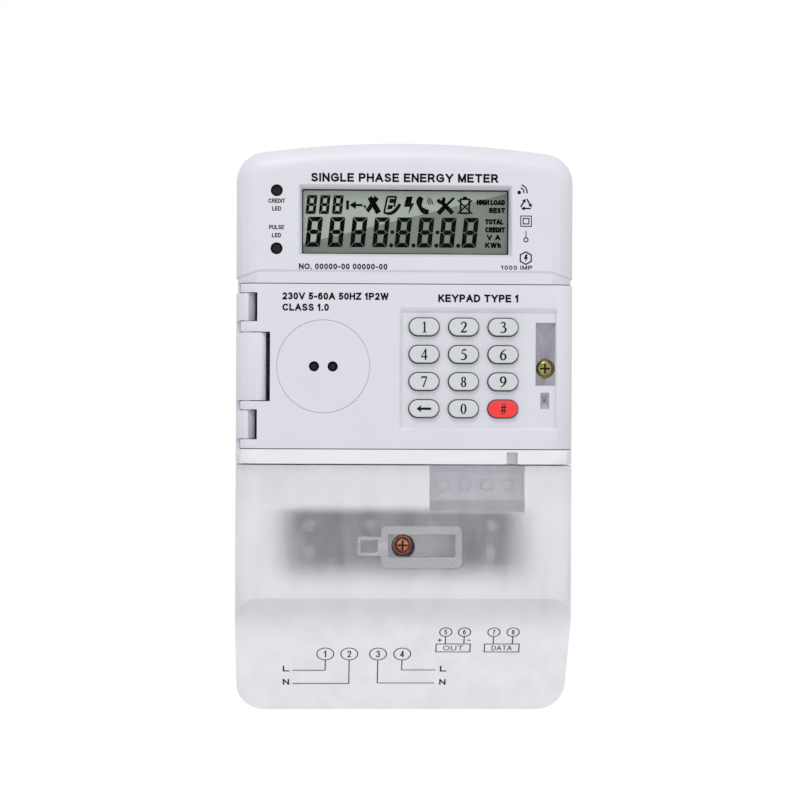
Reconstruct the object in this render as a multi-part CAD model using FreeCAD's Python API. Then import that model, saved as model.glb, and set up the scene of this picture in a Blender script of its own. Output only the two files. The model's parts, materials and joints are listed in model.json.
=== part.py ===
import FreeCAD, Part
import math
import os

# Prepaid electricity meter with a keypad door and a clear terminal cover.
# X runs right, Z up. The wall is the plane Y = 0 and the front faces -Y. Millimetres throughout.
# The origin is the centre of the rear face.

os.makedirs("parts", exist_ok=True)
V = FreeCAD.Vector

# Outer form
WIDTH = 118.0
TOP_Z = 101.0
BOTTOM_Z = -101.0
FRONT = -68.0
ARCH_R = 367.0            # the top is a shallow arch
TOP_CORNER_R = 10.5
BOTTOM_CORNER_R = 10.0
EDGE_R = 7.5              # rounding between the front and the sides
KNEE_Z = -58.2            # the terminal cover slopes back below this height
TOE_Y = -32.0             # where the slope meets the bottom
HALF = WIDTH / 2
OVER = 1.0                # how far a cutter runs past the face it opens

# Casing
WALL = 2.5
BACK_WALL = 3.0
REAR_RIM = -27.8          # front rim of the rear case
HOUSING_BACK = -28.2      # rear rim of the front housing, a gasket away
DECK_FRONT = -57.0        # the part of the housing under the terminal cover
DECK_BOTTOM = -24.5
LIP_BOTTOM = -11.3
FLOOR_FRONT = -44.0       # floor of the compartment behind the door
FLOOR_BACK = -42.0
MOUTH = -58.7             # where the compartment's walls meet the door
HOOD_STEP = 0.55          # the hood's lower band is this far behind its display face
HOOD_STEP_Z = 55.7
HOOD_STEP_BEVEL = 0.6
HOOD_STEP_X = 49.0        # beyond this the step curves down towards the sides
HOOD_STEP_DROP = 2.7

# Door and its hinge
DOOR_X0, DOOR_Z0, DOOR_Z1 = -57.2, -6.0, 51.3
DOOR_BACK = -59.1
DOOR_INNER = -65.0
HINGE_X, HINGE_Y = -54.8, -64.1
BARREL_R = 2.6
STRIP_FRONT = -62.3       # the housing's side wall beside the hinge stops here, clear of the swing
PIN_R = 1.5
RUNNING_GAP = 0.05
GAP = 0.3
WINDOWS = ((38.2, 48.3), (-2.9, 7.5))
WINDOW_X = -51.5
BLOCK_X1, BLOCK_Z0, BLOCK_Z1 = -48.4, 10.7, 34.3
BLOCK_GAP_X = -47.0

# Keypad
RECESS_FLOOR = -66.8
KEY_X = (6.66, 20.45, 34.25)
KEY_Z = (36.5, 26.95, 17.45, 8.0)
KEY_NAMES = ("1", "2", "3", "4", "5", "6", "7", "8", "9", "left", "0", "hash")
KEY_W, KEY_H = 10.5, 6.2
KEY_TOP = FRONT - 0.3     # the caps stand a little proud of the door
KEY_EDGE_R = 0.6
KEY_GAP = 0.25
KEY_FLANGE = 0.8          # how far a key's flange stands out behind the door
MAT_FRONT, MAT_BACK = -62.9, -62.1
KEYPAD_BOARD_BACK = -60.9

# Optical port
PORT_X, PORT_Z, PORT_R = -28.5, 22.6, 16.2
PORT_HOLES = (-31.7, -25.2)
PORT_HOLE_R = 1.8

# Captive seal screws
SEAL_X, SEAL_Z = 49.2, 22.2
SLOT_X0, SLOT_X1, SLOT_Z0, SLOT_Z1 = 45.7, 52.6, 16.2, 38.2
SLOT_END_Z = 32.3         # the slot's floor slopes up from here to its upper end
SLOT_LEDGE, SLOT_BOTTOM = -66.1, -63.2
COVER_SCREW_Z = -40.5
SHANK_R = 2.0
SHANK_HOLE_R = 2.35
HEAD_R = 2.85
WASHER_R = 3.2

# Raised frames round the cover's screw well and seal tab
FRAME_FRONT = FRONT - 0.35

# Display
LCD_X, LCD_Z0, LCD_Z1 = 36.1, 61.9, 84.5
BEZEL_X, BEZEL_Z0, BEZEL_Z1 = 37.3, 60.9, 86.0
LED_X = -44.9
LED_Z = {"status_led": 83.8, "pulse_led": 63.6}

# Main board
BOARD_FRONT, BOARD_BACK = -37.0, -35.4
BOARD_HALF = 46.0
BOARD_Z0, BOARD_Z1 = -5.0, 94.0
BOARD_POSTS = [(x, z) for x in (-42.0, 42.0) for z in (90.0, -1.0)]

# Terminals
TERMINAL_X = (-33.0, -11.0, 11.0, 33.0)   # line in, neutral in, neutral out, line out
LINE_X, NEUTRAL_X0, NEUTRAL_X1, LOAD_X = TERMINAL_X
RELAY_LOAD_X = -10.0
WIRE_Y = -16.0
WIRE_R = 4.3
BLOCK_FRONT = -44.0
TB_TOP, TB_BOTTOM = -24.8, -52.0
TB_HALF = 43.0
TB_RIBS = (-42.0, -22.0, 22.0, 42.0)
TB_RIB_H = 2.0
CLAMP_Z = (-34.5, -44.5)
AUX_X = (14.2, 21.9, 29.6, 37.3)

# Fixings
CASE_SCREWS = [(x, z) for x in (-51.0, 51.0) for z in (87.0, -2.0)]
FIXING_X, FIXING_Z, FIXING_R = 42.0, -88.0, 2.6
HANGER_Z, HANGER_R = 88.0, 2.75


def box(x0, x1, y0, y1, z0, z1):
    return Part.makeBox(x1 - x0, y1 - y0, z1 - z0, V(x0, y0, z0))


def rod_y(x, z, r, y0, y1):
    return Part.makeCylinder(r, y1 - y0, V(x, y0, z), V(0, 1, 0))


def rod_z(x, y, r, z0, z1):
    return Part.makeCylinder(r, z1 - z0, V(x, y, z0))


def ring_y(x, z, r_out, r_in, y0, y1):
    return rod_y(x, z, r_out, y0, y1).cut(rod_y(x, z, r_in, y0 - OVER, y1 + OVER))


def soft_box(x0, x1, y0, y1, z0, z1, r):
    """A block whose four edges along Y are rounded."""
    block = box(x0, x1, y0, y1, z0, z1)
    return block.makeFillet(r, edges_along_y(block))


def edges_along_y(shape):
    found = []
    for edge in shape.Edges:
        a, b = edge.Vertexes[0].Point, edge.Vertexes[-1].Point
        if abs(a.x - b.x) < 1e-6 and abs(a.z - b.z) < 1e-6 and abs(a.y - b.y) > 1e-6:
            found.append(edge)
    return found


def taper_y(rect0, y0, rect1, y1):
    """A four-sided block between two rectangles (x0, x1, z0, z1) in planes of constant Y."""
    wires = []
    for (xa, xb, za, zb), y in ((rect0, y0), (rect1, y1)):
        corners = [V(xa, y, za), V(xb, y, za), V(xb, y, zb), V(xa, y, zb), V(xa, y, za)]
        wires.append(Part.makePolygon(corners))
    return Part.makeLoft(wires, True, True)


def fused(shapes):
    return shapes[0].multiFuse(list(shapes[1:])).removeSplitter()


def outline(inset, y0, y1):
    """The arched front outline, moved in by inset and run from y0 to y1."""
    half = HALF - inset
    radius = ARCH_R - inset
    centre_z = TOP_Z - ARCH_R
    side_top = centre_z + math.sqrt(radius ** 2 - half ** 2)
    bottom = BOTTOM_Z + inset
    arch = Part.Arc(V(-half, y0, side_top), V(0, y0, centre_z + radius), V(half, y0, side_top))
    sides = Part.makePolygon([V(half, y0, side_top), V(half, y0, bottom), V(-half, y0, bottom),
                              V(-half, y0, side_top)])
    face = Part.Face(Part.Wire([arch.toShape()] + sides.Edges))
    solid = face.extrude(V(0, y1 - y0, 0))
    along = edges_along_y(solid)
    top = [e for e in along if e.Vertexes[0].Point.z > 0]
    solid = solid.makeFillet(TOP_CORNER_R - inset, top)
    low = [e for e in edges_along_y(solid) if e.Vertexes[0].Point.z < bottom + 1.0]
    return solid.makeFillet(BOTTOM_CORNER_R - inset, low)


def slope_cutter(inset):
    """Everything in front of the terminal cover's slope, moved in by inset."""
    run, fall = TOE_Y - FRONT, BOTTOM_Z - KNEE_Z
    length = math.hypot(run, fall)
    along = V(0, run / length, fall / length)
    outward = V(0, fall / length, -run / length)
    start = V(-HALF - OVER, FRONT, KNEE_Z) - outward * inset - along * length
    corners = [start, start + along * 3 * length, start + along * 3 * length + outward * length,
               start + outward * length, start]
    return Part.Face(Part.makePolygon(corners)).extrude(V(WIDTH + 2 * OVER, 0, 0))


def envelope(inset):
    """The whole meter's outer form without the rear face, moved in by inset."""
    front = FRONT + inset
    solid = outline(inset, front, 0.0)
    rim = [e for e in solid.Edges if max(abs(v.Point.y - front) for v in e.Vertexes) < 1e-6]
    solid = solid.makeFillet(EDGE_R - inset, rim)
    return solid.cut(slope_cutter(inset))


def step_profile(y, rise):
    """Outline of the hood's lower band in a plane of constant Y, its upper edge drooping at both ends."""
    top, end, reach = HOOD_STEP_Z + rise, HOOD_STEP_Z + rise - HOOD_STEP_DROP, HALF + OVER
    mid_x, mid_z = (HOOD_STEP_X + reach) / 2, top - 0.3 * HOOD_STEP_DROP
    floor = 40.0
    left = Part.Arc(V(-reach, y, end), V(-mid_x, y, mid_z), V(-HOOD_STEP_X, y, top)).toShape()
    right = Part.Arc(V(HOOD_STEP_X, y, top), V(mid_x, y, mid_z), V(reach, y, end)).toShape()
    straight = Part.makePolygon([V(-HOOD_STEP_X, y, top), V(HOOD_STEP_X, y, top)])
    rest = Part.makePolygon([V(reach, y, end), V(reach, y, floor), V(-reach, y, floor), V(-reach, y, end)])
    return Part.Wire([left] + straight.Edges + [right] + rest.Edges)


def hood_step():
    """What is taken off the hood to leave its lower band behind the display face."""
    bevel = Part.makeLoft([step_profile(FRONT - 0.01, HOOD_STEP_BEVEL), step_profile(FRONT + HOOD_STEP, 0.0)],
                          True, True)
    skin = Part.Face(step_profile(FRONT - OVER, 0.0)).extrude(V(0, 40.0, 0)).cut(envelope(HOOD_STEP))
    return [bevel, skin]


def within(shape, x0, x1, y0, y1, z0, z1):
    return shape.common(box(x0, x1, y0, y1, z0, z1))


def stadium(x, z, width, height, y0, y1):
    reach = (width - height) / 2
    ends = [rod_y(x + s * reach, z, height / 2, y0, y1) for s in (-1, 1)]
    return fused([box(x - reach, x + reach, y0, y1, z - height / 2, z + height / 2)] + ends)


def cross_recess(x, z, y, depth, size):
    """The cross cut into a screw head whose outer face is at y."""
    arm = size / 6
    bars = [box(x - size, x + size, y - OVER, y + depth, z - arm, z + arm),
            box(x - arm, x + arm, y - OVER, y + depth, z - size, z + size)]
    return fused(bars)


def pan_screw(x, z, y_head, head_r, head_h, shank_r, y_tip, recess=1.4):
    """A cross-recess screw pointing at +Y with its head's outer face at y_head."""
    head = rod_y(x, z, head_r, y_head, y_head + head_h)
    rim = [e for e in head.Edges if abs(e.BoundBox.YMax - y_head) < 1e-6]
    head = head.makeFillet(head_h * 0.45, rim)
    shank = rod_y(x, z, shank_r, y_head + head_h, y_tip)
    return fused([head, shank]).cut(cross_recess(x, z, y_head, recess, head_r * 0.62))


OUTER = envelope(0.0)
INNER = envelope(WALL)
BIG = 200.0


# ---------------------------------------------------------------- casing

def rear_case():
    shell = outline(0.0, REAR_RIM, 0.0).cut(outline(WALL, REAR_RIM - OVER, -BACK_WALL))
    adds = []
    cuts = []
    for x, z in CASE_SCREWS:
        adds.append(rod_y(x, z, 4.0, REAR_RIM, -BACK_WALL))
        cuts.append(rod_y(x, z, 3.2, -12.0, OVER))
        cuts.append(rod_y(x, z, 1.6, REAR_RIM - OVER, OVER))
    for x in (-FIXING_X, FIXING_X):
        adds.append(rod_y(x, FIXING_Z, 5.5, -7.0, -BACK_WALL))
        cuts.append(rod_y(x, FIXING_Z, FIXING_R, -7.0 - OVER, OVER))
    # Pocket behind the hanger plate for the head of the wall screw
    adds.append(box(-12.0, 12.0, -10.0, -BACK_WALL, 68.0, TOP_Z - WALL))
    cuts.append(box(-11.0, 11.0, -1.5, OVER, 69.0, 97.0))
    cuts.append(box(-7.5, 7.5, -8.5, OVER, 78.0, 96.0))
    # Wall between the electronics and the terminal chamber, slotted for the line bars
    adds.append(box(-HALF + WALL, HALF - WALL, REAR_RIM, -BACK_WALL, -22.5, -20.5))
    for x in (LINE_X, LOAD_X):
        cuts.append(box(x - 4.5, x + 4.5, WIRE_Y - 1.6, WIRE_Y + 1.6, -23.0, -20.0))
    for x in TERMINAL_X:
        cuts.append(rod_z(x, WIRE_Y, 6.5, BOTTOM_Z - OVER, BOTTOM_Z + WALL + OVER))
    cuts += [rod_y(s * 9.2, 73.0, 1.1, -6.0, OVER) for s in (-1, 1)]
    solid = fused([shell] + [a.common(outline(0.0, REAR_RIM, 0.0)) for a in adds])
    return solid.cut(Part.makeCompound(cuts))


def knuckles():
    """The housing's three hinge knuckles: the large block and one behind each door window."""
    block = box(-HALF, BLOCK_X1, FRONT, MOUTH + 1.5, BLOCK_Z0, BLOCK_Z1)
    front_right = [e for e in block.Edges
                   if e.BoundBox.XMin > BLOCK_X1 - 0.01 and e.BoundBox.YMax < FRONT + 0.01]
    parts = [block.makeFillet(3.0, front_right)]
    for z0, z1 in WINDOWS:
        low, high = z0 + GAP, z1 - GAP
        parts.append(rod_z(HINGE_X, HINGE_Y, BARREL_R, low, high))
        parts.append(box(-HALF, HINGE_X, HINGE_Y - 1.2, MOUTH + 1.5, low, high))
    return fused(parts).common(OUTER)


def front_housing():
    body = within(OUTER, -BIG, BIG, -BIG, HOUSING_BACK, LIP_BOTTOM, BIG)
    deck = box(-56.0, 56.0, DECK_FRONT, HOUSING_BACK, DECK_BOTTOM, LIP_BOTTOM + OVER)
    solid = fused([body, deck])
    side = HALF - WALL
    aux_walls = box(7.0, 44.4, DECK_FRONT - OVER, -43.0, DECK_BOTTOM - OVER, -12.0)
    cuts = [
        within(INNER, -BIG, BIG, -BIG, HOUSING_BACK + OVER, 54.0, BIG),
        box(-side, side, FLOOR_BACK, HOUSING_BACK + OVER, -8.8, 55.0),
        box(-side, side, MOUTH - OVER, FLOOR_FRONT, DOOR_Z0 - 0.6, DOOR_Z1 + 0.6),
        box(-HALF + 1.5, HALF + OVER, FRONT - OVER, MOUTH, DOOR_Z0 - GAP, DOOR_Z1 + GAP),
        box(-HALF - OVER, 0.0, FRONT - OVER, STRIP_FRONT, DOOR_Z0 - GAP, DOOR_Z1 + GAP),
        box(-54.0, 54.0, DECK_FRONT + 2.0, HOUSING_BACK + OVER, DECK_BOTTOM + 2.0, -8.7).cut(aux_walls),
        box(9.0, 42.4, DECK_FRONT - OVER, -45.0, DECK_BOTTOM - OVER, -14.0),
        box(35.6, 39.5, FRONT - OVER, -64.0, LIP_BOTTOM - OVER, -7.1),
        rod_y(-44.0, -18.0, 1.35, DECK_FRONT - OVER, DECK_FRONT + 2.5),
        taper_y((-BEZEL_X, BEZEL_X, BEZEL_Z0, BEZEL_Z1), FRONT - 0.01,
                (-LCD_X, LCD_X, LCD_Z0, LCD_Z1), FRONT + 2.0),
        box(-LCD_X, LCD_X, FRONT + 1.9, FRONT + WALL + OVER, LCD_Z0, LCD_Z1),
    ]
    cuts += [rod_y(LED_X, z, 2.1, FRONT - OVER, FRONT + WALL + OVER) for z in LED_Z.values()]
    solid = solid.cut(Part.makeCompound(cuts))
    for cutter in hood_step():
        solid = solid.cut(cutter)
    adds = [knuckles(), rod_y(0.0, -17.0, 2.75, DECK_FRONT - 3.0, DECK_FRONT)]
    adds.append(rod_y(SEAL_X, SEAL_Z, 4.5, MOUTH, FLOOR_FRONT))
    for x, z in CASE_SCREWS:
        boss_front = -48.0 if z > 54.0 else FLOOR_BACK
        adds.append(rod_y(x, z, 4.0, boss_front, HOUSING_BACK))
        rib_end = math.copysign(side + OVER, x)
        adds.append(box(min(x, rib_end), max(x, rib_end), boss_front, HOUSING_BACK, z - 1.5, z + 1.5))
    for x, z in BOARD_POSTS:
        boss_front = FRONT + WALL if z > 54.0 else FLOOR_BACK
        adds.append(rod_y(x, z, 3.0, boss_front, BOARD_FRONT))
    solid = fused([solid] + adds)
    holes = [rod_y(x, z, 1.45, -42.5, HOUSING_BACK + OVER) for x, z in CASE_SCREWS]
    holes += [rod_y(x, z, 1.25, -41.5, BOARD_FRONT + OVER) for x, z in BOARD_POSTS]
    holes.append(rod_y(SEAL_X, SEAL_Z, SHANK_HOLE_R, MOUTH - OVER, MOUTH + 8.0))
    holes.append(rod_z(HINGE_X, HINGE_Y, PIN_R + 0.02, DOOR_Z0, DOOR_Z1))
    return solid.cut(Part.makeCompound(holes))


def case_gasket():
    ring = outline(0.6, HOUSING_BACK, REAR_RIM).cut(outline(2.2, HOUSING_BACK - OVER, REAR_RIM + OVER))
    return within(ring, -BIG, BIG, -BIG, BIG, -8.8, BIG)


def case_screws():
    """Four screws driven from behind, so each is turned to point at -Y."""
    screws = []
    for x, z in CASE_SCREWS:
        screw = pan_screw(x, z, 0.0, 2.8, 2.4, 1.4, 29.0)
        screw.rotate(V(x, 0, z), V(0, 0, 1), 180)
        screw.translate(V(0, -9.6, 0))
        screws.append(screw)
    return Part.makeCompound(screws)


def hanger_bracket():
    plate = soft_box(-10.8, 10.8, -1.5, 0.0, 69.2, 96.8, 2.0)
    cuts = [rod_y(0.0, HANGER_Z, HANGER_R, -2.0, OVER)]
    cuts += [rod_y(s * 9.2, 73.0, 1.2, -2.0, OVER) for s in (-1, 1)]
    return plate.cut(Part.makeCompound(cuts))


def hanger_rivets():
    rivets = [fused([rod_y(s * 9.2, 73.0, 1.05, -5.5, -1.5), rod_y(s * 9.2, 73.0, 1.15, -1.5, -0.05)])
              for s in (-1, 1)]
    return Part.makeCompound(rivets)


# ---------------------------------------------------------------- display and main board

def display_window():
    return soft_box(-38.5, 38.5, FRONT + WALL, FRONT + WALL + 1.4, 59.7, 87.2, 1.5)


def lcd_backlight():
    tray = soft_box(-39.0, 39.0, -61.5, -56.0, 58.5, 88.5, 1.0)
    feet = [box(x - 2, x + 2, -56.0, BOARD_FRONT, z - 2, z + 2) for x in (-35, 35) for z in (61, 86)]
    return fused([tray] + feet)


def lcd_pins():
    pins = [box(x - 0.25, x + 0.25, -62.0, BOARD_FRONT, 57.4, 57.9) for x in range(-34, 35, 3)]
    bar = box(-36.0, 36.0, -62.6, -61.6, 57.2, 60.5)
    return fused([bar] + pins)


def indicator_led(z):
    dome = rod_y(LED_X, z, 1.95, FRONT + 1.0, -60.0)
    rim = [e for e in dome.Edges if e.BoundBox.YMax < FRONT + 1.01]
    dome = dome.makeFillet(1.0, rim)
    half = 0.3
    legs = [box(LED_X + side - half, LED_X + side + half, -59.0, BOARD_FRONT, z - half, z + half)
            for side in (-1.27, 1.27)]
    return fused([dome, rod_y(LED_X, z, 2.4, -60.0, -59.0)] + legs)


def main_board():
    board = box(-BOARD_HALF, BOARD_HALF, BOARD_FRONT, BOARD_BACK, BOARD_Z0, BOARD_Z1)
    return board.cut(Part.makeCompound([rod_y(x, z, 1.4, BOARD_FRONT - OVER, BOARD_BACK + OVER)
                                        for x, z in BOARD_POSTS]))


def board_screws():
    screws = []
    for x, z in BOARD_POSTS:
        screw = pan_screw(x, z, 0.0, 2.4, 1.6, 1.2, 7.0, 1.0)
        screw.rotate(V(x, 0, z), V(0, 0, 1), 180)
        screw.translate(V(0, BOARD_BACK + 1.6, 0))
        screws.append(screw)
    return Part.makeCompound(screws)


def board_components():
    """Controller, memory, metering chip and small parts on both sides of the main board."""
    chips = [(-6.0, 6.0, 12.0, 24.0, 1.4), (-30.0, -23.0, 14.0, 21.0, 1.2), (18.0, 24.0, 30.0, 35.0, 1.2),
             (-34.0, -28.0, 34.0, 39.0, 1.2), (26.0, 34.0, 8.0, 13.0, 2.0)]
    front = [box(x0, x1, BOARD_FRONT - h, BOARD_FRONT, z0, z1) for x0, x1, z0, z1, h in chips]
    small = [box(x, x + 2.0, BOARD_FRONT - 0.8, BOARD_FRONT, z, z + 1.2)
             for x in range(-38, 38, 8) for z in (2, 28, 44)]
    return Part.makeCompound(front + small)


def power_transformer():
    core = box(-40.0, -8.0, -31.0, -11.0, 56.0, 84.0)
    coil = soft_box(-34.0, -14.0, BOARD_BACK, -8.0, 60.0, 80.0, 2.0)
    return fused([core, coil])


def capacitors():
    sizes = ((8.0, 6.3, 20.0), (24.0, 5.0, 16.0))
    return Part.makeCompound([rod_y(x, 78.0, r, BOARD_BACK, BOARD_BACK + length) for x, r, length in sizes])


def varistor():
    disc = rod_y(36.0, 62.0, 7.0, -30.0, -25.5)
    legs = [box(36.0 + s - 0.4, 36.0 + s + 0.4, BOARD_BACK, -30.0, 61.6, 62.4) for s in (-3.5, 3.5)]
    return fused([disc] + legs)


def buzzer():
    can = rod_y(30.0, 46.0, 6.0, BOARD_BACK, BOARD_BACK + 6.5)
    return can.cut(rod_y(30.0, 46.0, 1.0, BOARD_BACK + 5.0, BOARD_BACK + 7.0))


# ---------------------------------------------------------------- mains path

def latching_relay():
    return soft_box(-40.0, -4.0, -33.5, -12.5, 2.0, 40.0, 1.0)


def bar(x, z0, z1):
    return box(x - 4.0, x + 4.0, WIRE_Y - 1.0, WIRE_Y + 1.0, z0, z1)


def busbars():
    """Copper bars: two along the line path, either side of the shunt, and a bent one from the relay."""
    across = box(RELAY_LOAD_X - 4.0, LOAD_X + 4.0, WIRE_Y - 1.0, WIRE_Y + 1.0, -14.0, -6.0)
    load = fused([bar(LOAD_X, -28.0, -6.0), across, bar(RELAY_LOAD_X, -14.0, 2.0)])
    return Part.makeCompound([bar(LINE_X, -28.0, -16.0), bar(LINE_X, -4.0, 2.0), load])


def neutral_link():
    return box(NEUTRAL_X0 - 5.0, NEUTRAL_X1 + 5.0, WIRE_Y - 1.0, WIRE_Y + 1.0, -28.0, -24.9)


def terminal_block():
    block = box(-TB_HALF, TB_HALF, BLOCK_FRONT, -BACK_WALL, TB_BOTTOM, TB_TOP)
    cuts = [rod_y(0.0, COVER_SCREW_Z, 3.45, BLOCK_FRONT - OVER, -35.5)]
    for x in TERMINAL_X:
        cuts.append(box(x - 6.5, x + 6.5, -22.8, -9.2, -50.4, TB_TOP + OVER))
        cuts.append(rod_z(x, WIRE_Y, 4.9, TB_BOTTOM - OVER, -50.0))
        cuts += [rod_y(x, z, 3.8, BLOCK_FRONT - OVER, -22.0) for z in CLAMP_Z]
    cuts.append(box(NEUTRAL_X0 - 5.5, NEUTRAL_X1 + 5.5, -17.6, -14.4, -28.5, TB_TOP + OVER))
    # Ribs between the poles stand proud of the front face
    adds = [box(x - 1.0, x + 1.0, BLOCK_FRONT - TB_RIB_H, BLOCK_FRONT, TB_BOTTOM, TB_TOP) for x in TB_RIBS]
    return fused([block] + adds).cut(Part.makeCompound(cuts))


def main_terminals():
    barrels = []
    for x in TERMINAL_X:
        barrel = box(x - 6.3, x + 6.3, -22.6, -9.4, -50.2, -28.0)
        cuts = [rod_z(x, WIRE_Y, WIRE_R, -50.2 - OVER, -30.0)]
        cuts += [rod_y(x, z, 2.6, -22.6 - OVER, WIRE_Y) for z in CLAMP_Z]
        barrels.append(barrel.cut(Part.makeCompound(cuts)))
    return Part.makeCompound(barrels)


def terminal_clamp_screws():
    return Part.makeCompound([pan_screw(x, z, -31.0, 3.5, 3.0, 2.5, WIRE_Y - WIRE_R - 0.4)
                              for x in TERMINAL_X for z in CLAMP_Z])


def aux_terminal_block():
    block = box(9.6, 41.8, -55.0, -45.2, -24.3, -14.3)
    cuts = []
    for x in AUX_X:
        cuts.append(rod_z(x, -48.0, 1.6, -25.0, -17.0))
        cuts.append(rod_y(x, -19.0, 2.3, -56.0, -51.0))
        cuts.append(box(x - 2.6, x + 2.6, -51.2, -45.9, -22.5, -15.7))
    return block.cut(Part.makeCompound(cuts))


def aux_terminals():
    clamps = []
    for x in AUX_X:
        clamp = box(x - 2.5, x + 2.5, -51.0, -46.0, -22.4, -15.8)
        clamps.append(clamp.cut(Part.makeCompound([rod_z(x, -48.0, 1.5, -23.0, -17.0),
                                                   rod_y(x, -19.0, 1.3, -52.0, -48.0)])))
    return Part.makeCompound(clamps)


def aux_screws():
    return Part.makeCompound([pan_screw(x, -19.0, -53.6, 2.1, 1.6, 1.2, -49.6, 0.9) for x in AUX_X])


def cover_switch():
    body = box(-50.0, -38.0, DECK_FRONT + 2.1, -49.0, -22.0, -14.0)
    return body.cut(rod_y(-44.0, -18.0, 1.35, DECK_FRONT, -52.8))


def cover_switch_plunger():
    return rod_y(-44.0, -18.0, 1.2, -62.5, -54.0)


def cover_screw_insert():
    return ring_y(0.0, COVER_SCREW_Z, 3.4, SHANK_HOLE_R, BLOCK_FRONT, -36.0)


# ---------------------------------------------------------------- terminal cover

def terminal_cover():
    shell = OUTER.cut(envelope(2.0))
    shell = within(shell, -BIG, BIG, -BIG, -28.4, -BIG, LIP_BOTTOM - 0.5)
    top = within(OUTER, -BIG, BIG, -BIG, DECK_FRONT - 0.6, LIP_BOTTOM - 2.5, LIP_BOTTOM - 0.5)
    well = soft_box(-8.1, 20.1, FRAME_FRONT, -56.0, -47.4, -33.0, 2.0)
    tab = soft_box(-16.3, -6.0, FRAME_FRONT, -60.0, -43.3, -36.7, 1.0)
    tube = rod_y(0.0, COVER_SCREW_Z, 5.0, -57.0, -46.0)
    switch_rib = box(-46.0, -42.0, FRONT + 1.0, -63.7, -20.0, -16.0)
    solid = fused([shell, top, well, tab, tube, switch_rib])
    cuts = [soft_box(-5.7, 18.0, FRONT - OVER, -58.0, -44.1, -35.7, 0.5),
            soft_box(-15.3, -9.2, FRONT - OVER, -61.2, -42.3, -37.7, 0.5),
            box(-10.0, -4.0, FRONT - OVER, -65.6, -41.9, -38.6),
            rod_y(0.0, COVER_SCREW_Z, 4.2, -58.0 - OVER, -49.4),
            rod_y(0.0, COVER_SCREW_Z, SHANK_HOLE_R, -50.0, -45.0)]
    return solid.cut(Part.makeCompound(cuts))


def cover_screw():
    return pan_screw(0.0, COVER_SCREW_Z, -52.4, HEAD_R, 2.3, SHANK_R, BLOCK_FRONT + 3.5)


def cover_screw_washer():
    return ring_y(0.0, COVER_SCREW_Z, WASHER_R, SHANK_R + RUNNING_GAP, -50.05, -49.45)


# ---------------------------------------------------------------- keypad door

def seal_slot():
    """V-floored slot over the door screw, with a sloped upper end, and the small seal pocket under it."""
    x0, x1 = SLOT_X0, SLOT_X1
    middle = (x0 + x1) / 2
    section = [V(x0, SLOT_LEDGE, SLOT_Z0), V(x1, SLOT_LEDGE, SLOT_Z0), V(middle, SLOT_BOTTOM, SLOT_Z0)]
    vee = Part.Face(Part.makePolygon(section + section[:1])).extrude(V(0, 0, SLOT_END_Z - SLOT_Z0))
    a, b, c = V(x0, SLOT_LEDGE, SLOT_END_Z), V(x1, SLOT_LEDGE, SLOT_END_Z), V(middle, SLOT_BOTTOM, SLOT_END_Z)
    d, e = V(x0, SLOT_LEDGE, SLOT_Z1), V(x1, SLOT_LEDGE, SLOT_Z1)
    loops = [(a, b, c), (a, b, e, d), (a, c, d), (b, c, e), (c, d, e)]
    faces = [Part.Face(Part.makePolygon(list(loop) + [loop[0]])) for loop in loops]
    end = Part.Solid(Part.Shell(faces))
    mouth = box(x0, x1, FRONT - OVER, SLOT_LEDGE, SLOT_Z0, SLOT_Z1)
    pocket = taper_y((47.4, 50.6, 8.0, 13.8), RECESS_FLOOR - 0.01, (48.9, 49.1, 10.8, 11.0), -64.2)
    return fused([vee, end]), mouth, pocket


def keypad_door():
    slab = within(OUTER, DOOR_X0, BIG, -BIG, DOOR_BACK, DOOR_Z0, DOOR_Z1)
    slab = slab.cut(box(-60.0, HINGE_X + 0.5, HINGE_Y, DOOR_BACK + OVER, DOOR_Z0 - OVER, DOOR_Z1 + OVER))
    solid = fused([slab, rod_z(HINGE_X, HINGE_Y, BARREL_R, DOOR_Z0, DOOR_Z1)])
    screw_block = box(43.7, 54.7, FRONT, DOOR_BACK + OVER, 4.0, 41.0)
    hollow = within(INNER, -45.5, BIG, DOOR_INNER, DOOR_BACK + OVER, DOOR_Z0 + 2.0, DOOR_Z1 - 2.0)
    vee, mouth, pocket = seal_slot()
    cuts = [box(-60.0, WINDOW_X, FRONT - OVER, DOOR_BACK + OVER, z0, z1) for z0, z1 in WINDOWS]
    cuts.append(box(-60.0, BLOCK_GAP_X, FRONT - OVER, DOOR_BACK + OVER, BLOCK_Z0 - GAP, BLOCK_Z1 + GAP))
    cuts.append(hollow.cut(screw_block))
    cuts.append(taper_y((-2.1, 53.0, 0.5, 43.4), FRONT - 0.01, (-0.9, 52.9, 1.7, 41.5), RECESS_FLOOR))
    cuts += [vee, mouth, pocket]
    cuts.append(rod_y(SEAL_X, SEAL_Z, 3.4, FRONT - OVER, -61.8))
    cuts.append(rod_y(SEAL_X, SEAL_Z, SHANK_HOLE_R, -62.5, DOOR_BACK + OVER))
    for x in KEY_X:
        cuts += [stadium(x, z, KEY_W + 2 * KEY_GAP, KEY_H + 2 * KEY_GAP, FRONT - OVER, DOOR_INNER + OVER)
                 for z in KEY_Z]
    cuts += [rod_y(x, PORT_Z, PORT_HOLE_R, FRONT - OVER, DOOR_INNER + OVER) for x in PORT_HOLES]
    cuts.append(ring_y(PORT_X, PORT_Z, PORT_R + 0.15, PORT_R - 0.15, FRONT - OVER, FRONT + 0.35))
    cuts.append(rod_z(HINGE_X, HINGE_Y, PIN_R + RUNNING_GAP, DOOR_Z0 - OVER, DOOR_Z1 + OVER))
    for cutter in cuts:
        solid = solid.cut(cutter)
    return solid


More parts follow.
